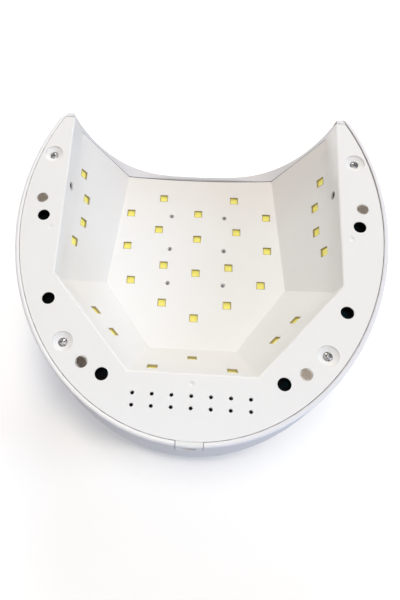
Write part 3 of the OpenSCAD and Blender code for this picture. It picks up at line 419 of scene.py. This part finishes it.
def circuit_board(name, mask_low, mask_high, pitch_mm, track_share):
    """Solder mask over raised copper tracks, with a faint weave of the laminate."""
    f = Finish(name)
    place = f.place_mm()
    weave = f.noise(f.stretched(place, (1, 4, 4)), per_mm=1.2, detail=1)
    values = {"Vector": place, "Scale": 1 / pitch_mm, "Randomness": 0.7}
    cells = f.node("ShaderNodeTexVoronoi", {"feature": "DISTANCE_TO_EDGE"}, values)
    mask = cells.ramped(track_share, track_share * 1.6)
    return f.surface(
        Base_Color=f.blend(mask * 0.8 + weave * 0.2, mask_high, mask_low),
        Roughness=0.38 + 0.12 * weave,
        Normal=f.bumped(1 - mask, relief_mm=0.04),
    )


def metal(name, colour, rough, brushed, tarnish=0.5, patches_per_mm=0.6, stain=0.45):
    """Plated metal with drawn marks along one direction and patches of duller plating."""
    f = Finish(name)
    place = f.place_mm()
    lines = f.noise(f.stretched(place, brushed), per_mm=3.0, detail=3)
    patch = f.noise(place, per_mm=patches_per_mm, detail=4).ramped(0.4, 0.6)
    dull = (*(tarnish * c for c in colour[:3]), 1)
    return f.surface(
        Base_Color=f.blend(patch * stain, colour, dull),
        Metallic=1.0,
        Roughness=rough + 0.14 * lines + 0.10 * patch,
        Normal=f.bumped(lines, relief_mm=0.01, round_mm=0.08),
    )


def emitter_lens():
    """Speckled yellow phosphor under clear silicone, with a painted glow, and painted glints in
    spots on the walls.
    """
    f = Finish("emitter_lens")
    place = f.place_mm()
    on_wall = f.turn()[2].ramped(-0.9, -0.65)
    speckle = f.noise(place, per_mm=1.5, detail=3, rough=0.6)
    patch = f.noise(place, per_mm=0.7, detail=1)
    deep = f.blend(patch, (0.93, 0.80, 0.085, 1), (0.97, 0.90, 0.15, 1))
    # Painted glow, though the emitters are off: its colour
    painted_glow = f.blend(patch, (0.24, 0.20, 0.018, 1), (0.285, 0.26, 0.048, 1))
    # Painted glints: the glow is paler and stronger in patches on the wall emitters
    bright = 0.12 + 0.13 * on_wall + on_wall * patch.ramped(0.47, 0.6) * 0.6
    return f.surface(
        Base_Color=f.blend(speckle.ramped(0.45, 0.7), deep, (1.0, 0.98, 0.48, 1)),
        Roughness=0.16 + 0.10 * speckle,
        Coat_Weight=0.5,
        Coat_Roughness=0.05,
        Emission_Color=f.blend(bright, painted_glow, (0.95, 0.90, 0.30, 1)),
        Emission_Strength=0.30,
        Normal=f.bumped(speckle, relief_mm=0.05),
    )


def centres_mm(name):
    """Middle of each loose part of a node that has one in each quarter of the plan."""
    points = [v.co for v in nodes[name].data.vertices]
    centres = []
    for a in (-1, 1):
        for b in (-1, 1):
            own = [p for p in points if p.x * a > 0 and p.y * b > 0]
            reach = [(min(p[k] for p in own), max(p[k] for p in own)) for k in range(3)]
            centres.append([(low + high) / 2 / mm for low, high in reach])
    return centres


def magnet_plate():
    """Dull plating with fine scratches and a rim paler in patches, with painted shade darkest at
    the rear left.
    """
    f = Finish("magnet_plate")
    place = f.place_mm()
    x, y = f.axes(place)[:2]
    mottle = f.noise(place, per_mm=0.9, detail=3)
    scratches = f.noise(f.stretched(place, (7, 1, 1)), per_mm=2.0, detail=3)
    # Painted shade: the plating is darkest at the rear left
    rear_left_shade = y.ramped(*magnet_shade_y_mm) * x.ramped(*magnet_shade_x_mm)
    stain = rear_left_shade * 0.8 + mottle.ramped(0.35, 0.7) * 0.3
    away = None
    for centre in centres_mm("tray_magnets"):
        far = f.vector_maths("DISTANCE", place, centre, out="Value")
        away = far if away is None else away.maths("MINIMUM", far)
    patch = f.noise(place, per_mm=0.25, detail=1).ramped(0.35, 0.65)
    pale_rim = away.ramped(*magnet_rim_mm) * patch
    plate = f.blend(stain, (0.33, 0.285, 0.24, 1), (0.062, 0.05, 0.042, 1))
    return f.surface(
        Base_Color=f.blend(pale_rim * 0.6, plate, (0.82, 0.80, 0.76, 1)),
        Metallic=0.9,
        Roughness=0.30 + 0.15 * scratches,
        Normal=f.bumped(scratches, relief_mm=0.01, round_mm=0.15),
    )


def socket_rubber():
    """Black rubber deep in the tray holes, with a faint painted teal sheen in streaks."""
    f = Finish("socket_rubber")
    place = f.place_mm()
    # Painted teal sheen in streaks over the black
    painted_sheen = f.noise(f.stretched(place, (0.5, 0.5, 0.1)), per_mm=0.35, detail=1).ramped(0.52, 0.62)
    return f.surface(
        Base_Color=f.blend(painted_sheen, (0.002, 0.002, 0.003, 1), (0.001, 0.014, 0.017, 1)),
        Roughness=0.55 + 0.2 * painted_sheen,
        Specular_IOR_Level=0.05,
        Normal=f.bumped(painted_sheen, relief_mm=0.02),
    )


def capacitor_sleeve():
    """Shrunk dark blue sleeve with soft wrinkles round it."""
    f = Finish("capacitor_sleeve")
    place = f.place_mm()
    wrinkle = f.noise(f.stretched(place, (1, 1, 0.2)), per_mm=0.9)
    folds = wrinkle.ramped(0.3, 0.7)
    return f.surface(
        Base_Color=f.blend(folds, (0.03, 0.035, 0.07, 1), (0.05, 0.06, 0.11, 1)),
        Roughness=0.25 + 0.1 * wrinkle,
        Normal=f.bumped(wrinkle, relief_mm=0.03),
    )


def sensor_resin():
    """Nearly black clear resin with a faint swirl."""
    f = Finish("sensor_resin")
    place = f.place_mm()
    swirl = f.noise(place, per_mm=0.5)
    return f.surface(
        Base_Color=f.blend(swirl, (0.008, 0.006, 0.009, 1), (0.022, 0.012, 0.015, 1)),
        Roughness=0.10 + 0.05 * swirl,
        Specular_IOR_Level=0.35,
        Normal=f.bumped(swirl, relief_mm=0.01),
    )


def smoked_window():
    """Polished dark window with hairline scratches."""
    f = Finish("smoked_window")
    place = f.place_mm()
    haze = f.noise(place, per_mm=0.15, detail=3)
    hairline = f.noise(f.stretched(place, (0.3, 6, 1)), per_mm=0.8).ramped(0.64, 0.72)
    return f.surface(
        Base_Color=f.blend(haze, (0.010, 0.010, 0.013, 1), (0.022, 0.022, 0.027, 1)),
        Roughness=0.05 + 0.04 * haze + 0.06 * hairline,
        Coat_Weight=0.6,
        Coat_Roughness=0.03,
        Normal=f.bumped(hairline, relief_mm=0.004, round_mm=0.2),
    )


def printed_ink():
    """Grey ink, slightly uneven."""
    f = Finish("printed_ink")
    place = f.place_mm()
    uneven = f.noise(place, per_mm=6.0, detail=3)
    return f.surface(
        Base_Color=f.blend(uneven, (0.10, 0.105, 0.12, 1), (0.16, 0.165, 0.18, 1)),
        Roughness=0.5 + 0.15 * uneven,
        Normal=f.bumped(uneven, relief_mm=0.01),
    )


def grey(value):
    return (value, value, value, 1)


# Moulded plastics: name, darker and lighter colour, roughness
plastics = {
    "button": ("button_plastic", (0.70, 0.715, 0.74, 1), (0.76, 0.77, 0.79, 1), 0.28),
    "package": ("package_ceramic", (0.36, 0.30, 0.15, 1), (0.46, 0.39, 0.21, 1), 0.45),
    "black": ("black_plastic", grey(0.018), grey(0.035), 0.42),
    "foam": ("seal_foam", (0.085, 0.085, 0.10, 1), (0.13, 0.13, 0.155, 1), 0.8),
    "nylon": ("socket_nylon", (0.62, 0.60, 0.52, 1), (0.72, 0.70, 0.62, 1), 0.45),
    "plunger": ("plunger_plastic", grey(0.03), grey(0.06), 0.35),
    "jack": ("jack_plastic", (0.46, 0.46, 0.47, 1), (0.54, 0.54, 0.55, 1), 0.4),
    "display": ("display_plastic", grey(0.012), grey(0.025), 0.5),
}

# Circuit boards: name, darker and lighter mask, pitch of the tracks in mm, share of the pitch
boards = {
    "white_board": ("white_board", (0.74, 0.75, 0.72, 1), (0.84, 0.85, 0.83, 1), 7, 0.05),
    "green_board": ("green_board", (0.012, 0.11, 0.045, 1), (0.03, 0.20, 0.09, 1), 3, 0.10),
}

# Finish of each node, by how its name starts or ends; the first that fits counts
finish_by_end = {
    "_led_board": "white_board",
    "_leds": "package",
    "_lenses": "lens",
    "ceiling_board_screws": "dark_screw",
    "screws": "screw",
    "magnets": "magnet",
    "tray_sockets": "rubber",
    "light_seal": "foam",
    "board_sockets": "nylon",
    "_pins": "contact",
    "_leads": "contact",
    "_chip": "black",
    "_inductor": "black",
    "_capacitors": "sleeve",
}
finish_by_start = {
    "outer_shell": "shell",
    "reflector_liner": "liner",
    "ir_": "sensor",
    "main_board": "green_board",
    "tact_": "black",
    "switch_plunger": "plunger",
    "timer_button": "button",
    "display_module": "display",
    "display_window": "window",
    "dc_jack_pin": "contact",
    "dc_jack": "jack",
}


def make_finishes():
    steel = (0.72, 0.72, 0.73, 1)
    black_steel = (0.30, 0.30, 0.31, 1)
    contact_metal = (0.80, 0.75, 0.62, 1)
    upright = (1, 1, 8)
    return {
        "shell": shell_plastic(),
        "liner": liner_plastic(),
        **{key: moulded_plastic(*recipe) for key, recipe in plastics.items()},
        **{key: circuit_board(*recipe) for key, recipe in boards.items()},
        "rubber": socket_rubber(),
        "sleeve": capacitor_sleeve(),
        "screw": metal("screw_steel", steel, 0.26, upright, 0.18, patches_per_mm=0.9, stain=0.9),
        "dark_screw": metal("screw_black", black_steel, 0.28, upright, 0.3),
        "contact": metal("contact_plate", contact_metal, 0.2, (1, 8, 1)),
        "magnet": magnet_plate(),
        "lens": emitter_lens(),
        "sensor": sensor_resin(),
        "window": smoked_window(),
        "ink": printed_ink(),
    }


def finish_of(name):
    """Key of the finish that a node of the model takes."""
    for ending, key in finish_by_end.items():
        if name.endswith(ending):
            return key
    for start, key in finish_by_start.items():
        if name.startswith(start):
            return key
    raise KeyError(name)


def dress(name, material):
    """Gives a node its finish, and joins and smooths its surface without moving it."""
    node = nodes[name]
    node.data.materials.clear()
    node.data.materials.append(material)
    for face in node.data.polygons:
        face.use_smooth = True
    weld = node.modifiers.new("weld", "WELD")
    weld.merge_threshold = weld_reach
    split = node.modifiers.new("crisp_edges", "EDGE_SPLIT")
    split.split_angle = math.radians(crisp_from_deg)
    split.use_edge_sharp = False
    even = node.modifiers.new("even_faces", "WEIGHTED_NORMAL")
    even.weight = area_weight


def deselect():
    if bpy.context.object and bpy.context.object.mode != "OBJECT":
        bpy.ops.object.mode_set(mode="OBJECT")
    bpy.ops.object.select_all(action="DESELECT")


def print_number(text, ink):
    """Lays a flat number on its button, with which it moves."""
    button = "timer_button_" + text
    low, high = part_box(button)
    above = ((low.x + high.x) / 2, (low.y + high.y) / 2, high.z + print_start)
    deselect()
    bpy.ops.object.text_add(location=above)
    label = bpy.context.object
    label.name = "number_" + text
    label.data.body = text
    label.data.size = number_height * font_per_height
    label.data.align_x = "CENTER"
    label.data.align_y = "CENTER"
    bpy.ops.object.convert(target="MESH")
    label = bpy.context.object
    bpy.ops.object.transform_apply(location=True, rotation=True, scale=True)
    wrap = label.modifiers.new("lay_on_button", "SHRINKWRAP")
    wrap.target = nodes[button]
    wrap.wrap_method = "PROJECT"
    wrap.use_project_z = True
    wrap.use_negative_direction = True
    wrap.use_positive_direction = False
    wrap.offset = print_rise
    bpy.ops.object.modifier_apply(modifier=wrap.name)
    label.data.materials.clear()
    label.data.materials.append(ink)
    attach(label, "button_" + text)


def soft_shadow(f, place):
    """Masks of a painted soft shadow of the lamp, widest at its rear left, and of the sheet's left
    side, which takes a painted cooler light.
    """
    middle = f.vector_maths("SUBTRACT", place, shade_middle_mm)
    across, along = f.axes(middle)[:2]
    across = across / shade_half_mm[0]
    along = along / shade_half_mm[1]
    ring = (across * across + along * along).maths("SQRT")
    reach = shade_reach + shade_reach_left * across.ramped(*left_band)
    reach = reach + shade_reach_far_left * across.ramped(*far_left_band)
    near = ((ring - shade_edge) / reach).ramped(1, 0)
    side = across.ramped(*right_fade) * across.ramped(*left_fade) * along.ramped(*front_fade)
    return near * side, across.ramped(*tinted_band)


def stage_sheet(name, height, faces_up, tone, shaded):
    """Pale paper that fades to white far away, seen from one side only; where shaded, with a
    painted soft shadow and a painted cooler light on its left.
    """
    f = Finish(name)
    place = f.place_mm()
    cloud = f.noise(place, per_mm=0.01)
    bright = (*(tone * c for c in sheet_white), 1)
    colour = f.blend(cloud, tuple(cloud_depth * c for c in bright), bright)
    if shaded:
        shadow, left = soft_shadow(f, place)
        # Painted cooler light on the left, and painted soft shadow
        colour = f.tinted(left, colour, left_tint)
        colour = f.tinted(shadow, colour, shade_tint)
    paper = f.node("ShaderNodeBsdfDiffuse", {}, {"Color": colour})
    lift = f.node("ShaderNodeEmission", {}, {"Strength": sheet_lift})
    lit = f.node("ShaderNodeAddShader", {}, {0: paper, 1: lift})
    away = f.vector_maths("LENGTH", place, out="Value")
    haze = f.node("ShaderNodeEmission", {}, {"Strength": 1.0})
    front = f.mixed_shader(away.ramped(*fade_mm), lit, haze)
    back = f.node("ShaderNodeBsdfTransparent")
    f.output(f.mixed_shader(f.node("ShaderNodeNewGeometry", out="Backfacing"), front, back))
    deselect()
    bpy.ops.mesh.primitive_plane_add(size=sheet_width, location=(0, 0, height))
    sheet = bpy.context.object
    sheet.name = name
    if not faces_up:
        bpy.ops.object.mode_set(mode="EDIT")
        bpy.ops.mesh.flip_normals()
        bpy.ops.object.mode_set(mode="OBJECT")
    bpy.ops.object.transform_apply(location=True)
    sheet.data.materials.append(f.material)
    sheet.visible_diffuse = False
    sheet.visible_glossy = False
    sheet.visible_transmission = False
    sheet.visible_shadow = False


def light_scene():
    world = bpy.data.worlds.new("studio")
    bpy.context.scene.world = world
    world.use_nodes = True
    g = Graph(world.node_tree)
    up = g.axes(g.node("ShaderNodeTexCoord", out="Generated"))[2]
    tint = g.blend(up.ramped(*world_turns, kind="LINEAR"), world_low, world_high)
    soft = g.node("ShaderNodeBackground", {}, {"Color": tint, "Strength": world_strength})
    white = g.node("ShaderNodeBackground", {}, {"Color": (1, 1, 1, 1), "Strength": 1.0})
    by_camera = g.node("ShaderNodeLightPath", out="Is Camera Ray")
    g.output(g.mixed_shader(by_camera, soft, white), "ShaderNodeOutputWorld")
    for name, (place, watts, colour) in lamps.items():
        data = bpy.data.lights.new(name, "AREA")
        data.shape = "DISK"
        data.size = lamp_width
        data.energy = watts
        data.color = colour
        light = bpy.data.objects.new(name, data)
        light.location = place
        light.rotation_euler = (-Vector(place)).to_track_quat("-Z", "Y").to_euler()
        bpy.context.scene.collection.objects.link(light)


def main():
    place_camera()
    finishes = make_finishes()
    for name in nodes:
        dress(name, finishes[finish_of(name)])
    for text in button_texts:
        print_number(text, finishes["ink"])
    stage_sheet("floor_below", -sheet_gap, faces_up=True, tone=floor_tone, shaded=False)
    stage_sheet("sheet_behind", cad_box[1].z + sheet_gap, faces_up=False, tone=1.0, shaded=True)
    light_scene()
    bpy.context.scene.view_settings.view_transform = "Standard"


main()
